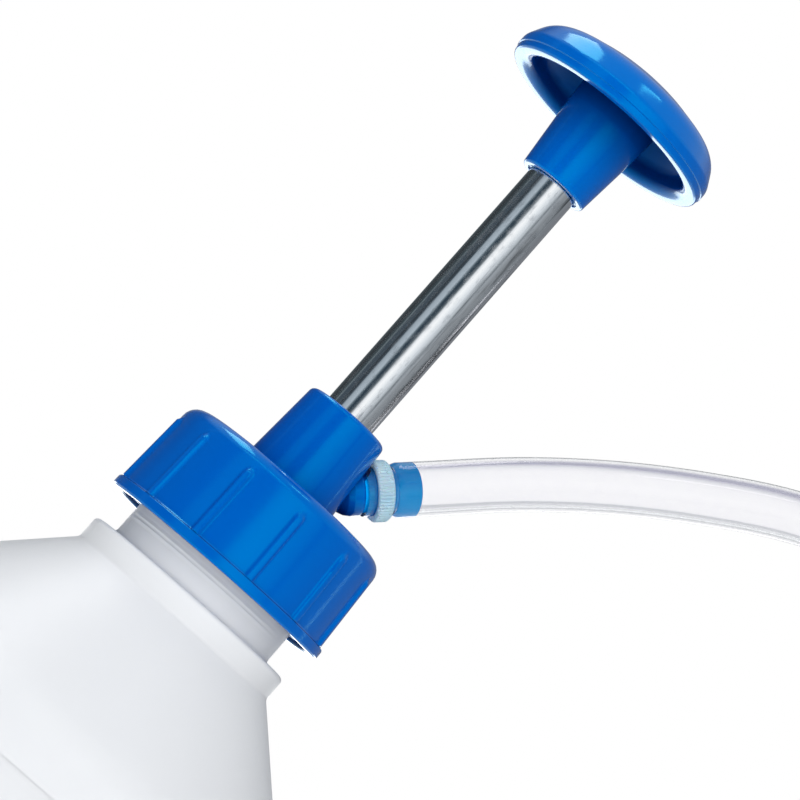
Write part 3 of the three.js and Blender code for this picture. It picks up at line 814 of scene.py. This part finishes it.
def make_cap():
    """Ribbed cap: flange, rounded top edge, deep groove between its two walls, and webs across the groove."""
    flange_top = CAP_LOW + 3.3
    outline = rounded(
        [
            (15.75, CAP_TOP - 3.3), (30.2, CAP_TOP - 3.3, 0.5), (30.2, CAP_LOW + 1, 0.4),
            (32.4, CAP_LOW + 1, 0.4), (32.4, GROOVE_TOP, 0.5), (33.6, GROOVE_TOP, 0.5), (34.7, CAP_LOW, 0.5),
            (FLANGE_R, CAP_LOW, 0.7), (FLANGE_R - 0.1, flange_top, 0.5), (CAP_SIDE_LOW, flange_top, 0.8),
            (CAP_SIDE_TOP, CAP_TOP, 4.6), (15.75, CAP_TOP, 0.3),
        ],
        steps=7,
    )
    outline = dense(outline, 0.9, closed=True)
    rib_high = CAP_TOP - 6.2
    rib_half = 1.15  # of its width
    rib_step = 2 * math.pi / RIB_COUNT

    def relief(angle, r, z):
        if r < 35 or z < flange_top - 0.2 or z > CAP_TOP - 1:
            return 0
        away = abs((angle - RIB_TURN + rib_step / 2) % rib_step - rib_step / 2) * r
        above = max(0, z - (rib_high - rib_half))
        side = 1 - smooth_step(math.hypot(away, above), rib_half - 0.45, rib_half + 0.6)
        return 0.95 * side * smooth_step(z, flange_top - 0.3, flange_top + 0.5)

    shell = turned("cap_shell", outline, 768, relief)
    web_low = CAP_LOW + 2
    webs = []
    for k in range(RIB_COUNT):
        angle = math.degrees(RIB_TURN) + 360 * (k + 0.5) / RIB_COUNT
        place = turn_to(angle) @ shift(33.5, 0, (web_low + GROOVE_TOP) / 2)
        webs.append(bar(f"cap_web_{k}", (2.6, 1.3, GROOVE_TOP - web_low), place, 0.2))
    cap = joined("screw_cap_moulding", [shell] + webs)
    return dress(cap, "cap", "blue_plastic", "screw_cap")


# ---------------------------------------------------------------- pump head


def on_outlet():
    """Matrix that puts a piece made about Z on to the outlet's axis."""
    return shift(0, 0, OUTLET_Z) @ Matrix.Rotation(math.pi / 2 - OUTLET_TILT, 4, "Y")


def make_head():
    """Boss round the rod, with its flange, its hub and the barbed outlet spigot."""
    boss = rounded(
        [
            (12.0, 268.0, 0.3), (14.9, 268.0, 0.4), (14.9, 273.6), (13.4, 273.6), (13.4, 275.8),
            (14.9, 275.8), (14.9, 282.6), (28.4, 282.6, 0.3), (28.4, 285.6, 0.3), (15.4, 285.6, 0.5),
            (13.5, BOSS_TOP, 1.6), (10.2, BOSS_TOP, 0.3),
            (9.4, BOSS_TOP - 0.9, 0.3), (8.6, BOSS_TOP - 0.9, 0.3),
            (8.6, 313.3), (10.6, 313.3), (10.6, 302), (12.0, 302),
        ],
    )
    boss = turned("boss", dense(boss, 3, closed=True), 192)
    barb = HOSE_BORE + 0.12  # it stretches the hose, so no gap shows between them
    spigot = rounded(
        [
            (3.4, 12.5), (5.4, 12.5), (5.4, 16.4, 0.8),
            (6.5, 18.6, 1.0), (6.9, 20.4, 0.5), (6.9, 23.3, 0.6),
            (barb, 23.6, 0.2), (barb, 33.0, 0.1), (5.9, 33.2, 0.1), (5.9, 33.8, 0.1), (barb, 34.0, 0.1),
            (barb, 41.0, 0.7), (3.4, 41.0, 0.3),
        ],
    )

    def flutes(angle, r, z):  # nine fine grooves along the barb
        return -0.1 * max(0, math.cos(9 * angle)) ** 12 if 34.8 < z < 40 and r > 6 else 0

    spigot = turned("spigot", dense(spigot, 0.6, closed=True), 216, flutes, on_outlet())
    head = joined("pump_head_moulding", [boss, spigot])
    return dress(head, "pump_head", "blue_plastic", "pump_head", material="blue_head")


def make_clamp():
    """Knurled ring that squeezes the hose on the spigot."""
    outline = rounded([(7.15, 27.0, 0.3), (8.55, 27.0, 0.5), (8.55, 32.0, 0.5), (7.15, 32.0, 0.3)])

    def knurl(angle, r, z):
        if r < 8.2:
            return 0
        ends = smooth_step(z, 27.2, 27.8) * (1 - smooth_step(z, 31.2, 31.8))
        return 0.42 * ends * (0.5 + 0.5 * math.cos(54 * angle))

    ring = turned("knurled_hose_ring", dense(outline, 0.5, closed=True), 432, knurl, on_outlet())
    return dress(ring, "pump_head", "clamp_plastic", "hose_clamp_ring")


# ---------------------------------------------------------------- plunger


def make_rod():
    """Plated tube with a faintly broken edge at each end."""
    outline = rounded(
        [(ROD_BORE, ROD_LOW, 0.2), (ROD_R, ROD_LOW, 0.4), (ROD_R, ROD_TOP, 0.4), (ROD_BORE, ROD_TOP, 0.2)],
    )
    rod = turned("plated_pump_rod", dense(outline, 6, closed=True), 160)
    return dress(rod, "plunger", "plated_rod", "pump_rod")


def make_knob():
    """Mushroom knob: ringed stem end, hollow crown with a rounded lip, and a moulding line round its side."""
    socket = ROD_R + 0.15
    outline = rounded(
        [
            (0, ROD_TOP + 0.3), (socket, ROD_TOP + 0.3), (socket, STEM_LOW + 0.9),
            (8.65, STEM_LOW + 0.5, 0.15), (9.0, STEM_LOW + 0.5, 0.15), (9.1, STEM_LOW, 0.15),
            (11.0, STEM_LOW, 0.8), (13.2, RIM_LOW, 12),
            (13.8, KNOB_TOP - 3.3, 2.5), (22.5, KNOB_TOP - 4.2, 7), (27.7, RIM_LOW + 6.2, 5),
            (28.6, RIM_LOW, 3.0), (RIM_R - 0.55, RIM_LOW, 0.8), (RIM_R - 0.35, RIM_LOW + 2.1, 0.12),
            (RIM_R, RIM_LOW + 2.3, 0.12), (RIM_R, RIM_LOW + 4.9, 4), (RIM_R - 3.7, KNOB_TOP - 4.3, 9),
            (19.5, KNOB_TOP - 0.4, 14), (0, KNOB_TOP),
        ],
        closed=False,
        steps=9,
    )
    knob = turned("mushroom_knob", dense(outline, 2), 256)
    return dress(knob, "plunger", "blue_plastic", "handle_knob")


make_bottle()
make_cap()
make_head()
make_clamp()
make_rod()
make_knob()

# ---------------------------------------------------------------- inner parts keep their CAD shape


def dress_inner_parts():
    """Gives each CAD node that still shows the finish of its slot."""
    slots = {row["node"]: row["material_slot"] for row in frame["record"]["subparts"]}
    for name, node in frame["nodes"].items():
        if node.hide_render:
            continue
        node.data.materials.clear()
        node.data.materials.append(MATERIALS[slots[name]])
        shade(node, 35)


dress_inner_parts()

# ---------------------------------------------------------------- floor and light

FLOOR_R = 8  # metres
FLOOR_GLOW = 0.12  # lifts the plain floor towards the picture's white

# What stands round the pump, by direction about Z in degrees from +X.
DARK = (0.035, 0.04, 0.045)
WHITE_WALL = (1.1, 1.1, 1.1)
WALLS = [
    (-180, DARK),
    (-168, (0.05, 0.07, 0.09)),
    (-162, (0.36, 0.42, 0.47)),
    (-144, (0.46, 0.53, 0.59)),
    (-138, (0.12, 0.16, 0.19)),
    (-132, (0.03, 0.05, 0.07)),
    (-125, (0.04, 0.06, 0.08)),
    (-117, (0.14, 0.17, 0.19)),
    (-110, (0.9, 0.92, 0.94)),
    (-101, WHITE_WALL),
    (-88, (0.92, 0.95, 0.97)),
    (-74, (0.7, 0.74, 0.78)),
    (-64, (0.5, 0.54, 0.57)),
    (-58, (0.16, 0.18, 0.2)),
    (-52, (0.38, 0.41, 0.44)),
    (-38, (0.28, 0.3, 0.32)),
    (-8, (0.23, 0.25, 0.27)),
    (20, (0.2, 0.21, 0.23)),
    (60, (0.24, 0.25, 0.27)),
    (80, (0.3, 0.32, 0.34)),
    (92, (0.08, 0.1, 0.11)),
    (124, DARK),
    (149, (0.05, 0.07, 0.08)),
    (154, (0.19, 0.23, 0.25)),
    (159, (0.06, 0.08, 0.1)),
]
CEILING = (0.58, 0.6, 0.62)
CEILING_RISE = (0.42, 0.62)  # sine of the elevation where the walls end and where the ceiling is full
LAVENDER = (0.42, 0.42, 0.52)  # overhead, through clear plastic
LAVENDER_RISE = (0.2, 0.7)  # the same, from white to lavender
WHITE = (1, 1, 1)


def make_floor():
    """A plain pale floor under the bottle."""
    mesh = bmesh.new()
    bmesh.ops.create_circle(mesh, cap_ends=True, segments=96, radius=FLOOR_R)
    data = bpy.data.meshes.new("floor")
    mesh.to_mesh(data)
    mesh.free()
    floor = new_piece("floor", data)
    m = Nodes("floor")
    m.surface(
        Base_Color=m.ramp(m.noise(3), 0.90, 0.92),
        Roughness=0.7,
        Emission_Color=grey(1.0),
        Emission_Strength=FLOOR_GLOW,
    )
    data.materials.append(m.material)


def make_world():
    """White for the eye and through clear plastic; for light and gloss, white walls with dark gaps."""
    world = bpy.data.worlds.new("studio")
    world.use_nodes = True
    bpy.context.scene.world = world
    nodes = world.node_tree.nodes
    links = world.node_tree.links

    def mixed(factor, first, second):
        """Socket of two colours mixed by a factor. Each is a socket or three numbers."""
        mix = nodes.new("ShaderNodeMix")
        mix.data_type = "RGBA"
        links.new(factor, mix.inputs["Factor"])
        for key, colour in (("A", first), ("B", second)):
            if isinstance(colour, tuple):
                mix.inputs[key].default_value = (*colour, 1)
            else:
                links.new(colour, mix.inputs[key])
        return mix.outputs["Result"]

    def rising(value, ends):
        """Socket that goes smoothly from 0 to 1 between two values."""
        reach = nodes.new("ShaderNodeMapRange")
        reach.interpolation_type = "SMOOTHSTEP"
        reach.inputs["From Min"].default_value, reach.inputs["From Max"].default_value = ends
        links.new(value, reach.inputs["Value"])
        return reach.outputs["Result"]

    direction = nodes.new("ShaderNodeTexCoord").outputs["Generated"]
    round_about = nodes.new("ShaderNodeTexGradient")
    round_about.gradient_type = "RADIAL"
    links.new(direction, round_about.inputs["Vector"])
    walls = nodes.new("ShaderNodeValToRGB")
    links.new(round_about.outputs["Fac"], walls.inputs["Fac"])
    ramp = walls.color_ramp
    ramp.elements.remove(ramp.elements[1])
    ramp.elements[0].position = 0
    ramp.elements[0].color = (*WALLS[0][1], 1)
    for azimuth, colour in WALLS[1:]:
        stop = ramp.elements.new((azimuth + 180) / 360)
        stop.color = (*colour, 1)

    height = nodes.new("ShaderNodeSeparateXYZ")
    links.new(direction, height.inputs["Vector"])
    room = mixed(rising(height.outputs["Z"], CEILING_RISE), walls.outputs["Color"], CEILING)
    behind = mixed(rising(height.outputs["Z"], LAVENDER_RISE), WHITE, LAVENDER)
    rays = nodes.new("ShaderNodeLightPath").outputs
    through = mixed(rays["Is Transmission Ray"], room, behind)
    seen = mixed(rays["Is Camera Ray"], through, WHITE)
    links.new(seen, nodes["Background"].inputs["Color"])


def area_light(name, azimuth, elevation, distance, size, brightness, aim_height=0.35, glossy=True):
    """A soft box seen from the pump in that direction (degrees about Z from +X, and above the horizontal)."""
    data = bpy.data.lights.new(name, "AREA")
    data.shape = "RECTANGLE"
    data.size, data.size_y = size
    data.energy = brightness * math.pi * size[0] * size[1]
    light = bpy.data.objects.new(name, data)
    light.visible_glossy = glossy
    light.visible_camera = False
    light.visible_transmission = False
    turn, rise = math.radians(azimuth), math.radians(elevation)
    ray = Vector((math.cos(rise) * math.cos(turn), math.cos(rise) * math.sin(turn), math.sin(rise)))
    place = Vector((0, 0, aim_height)) + distance * ray
    light.matrix_world = Matrix.Translation(place) @ (-ray).to_track_quat("-Z", "Y").to_matrix().to_4x4()
    bpy.context.scene.collection.objects.link(light)


make_floor()
make_world()
area_light("top_left", 148, 53, 1.3, (1.0, 0.42), 3.6, aim_height=0.42)
area_light("top", -82, 72, 1.2, (0.34, 0.12), 4, aim_height=0.42)
area_light("below", 68, -12, 1.3, (1.5, 0.26), 2.6, aim_height=0.43)
area_light("front_fill", -108, 6, 1.8, (2.0, 2.0), 2.45, glossy=False)
area_light("edge", -139, 43, 1.3, (1.3, 0.06), 2.6)

bpy.context.scene.view_settings.view_transform = "Standard"
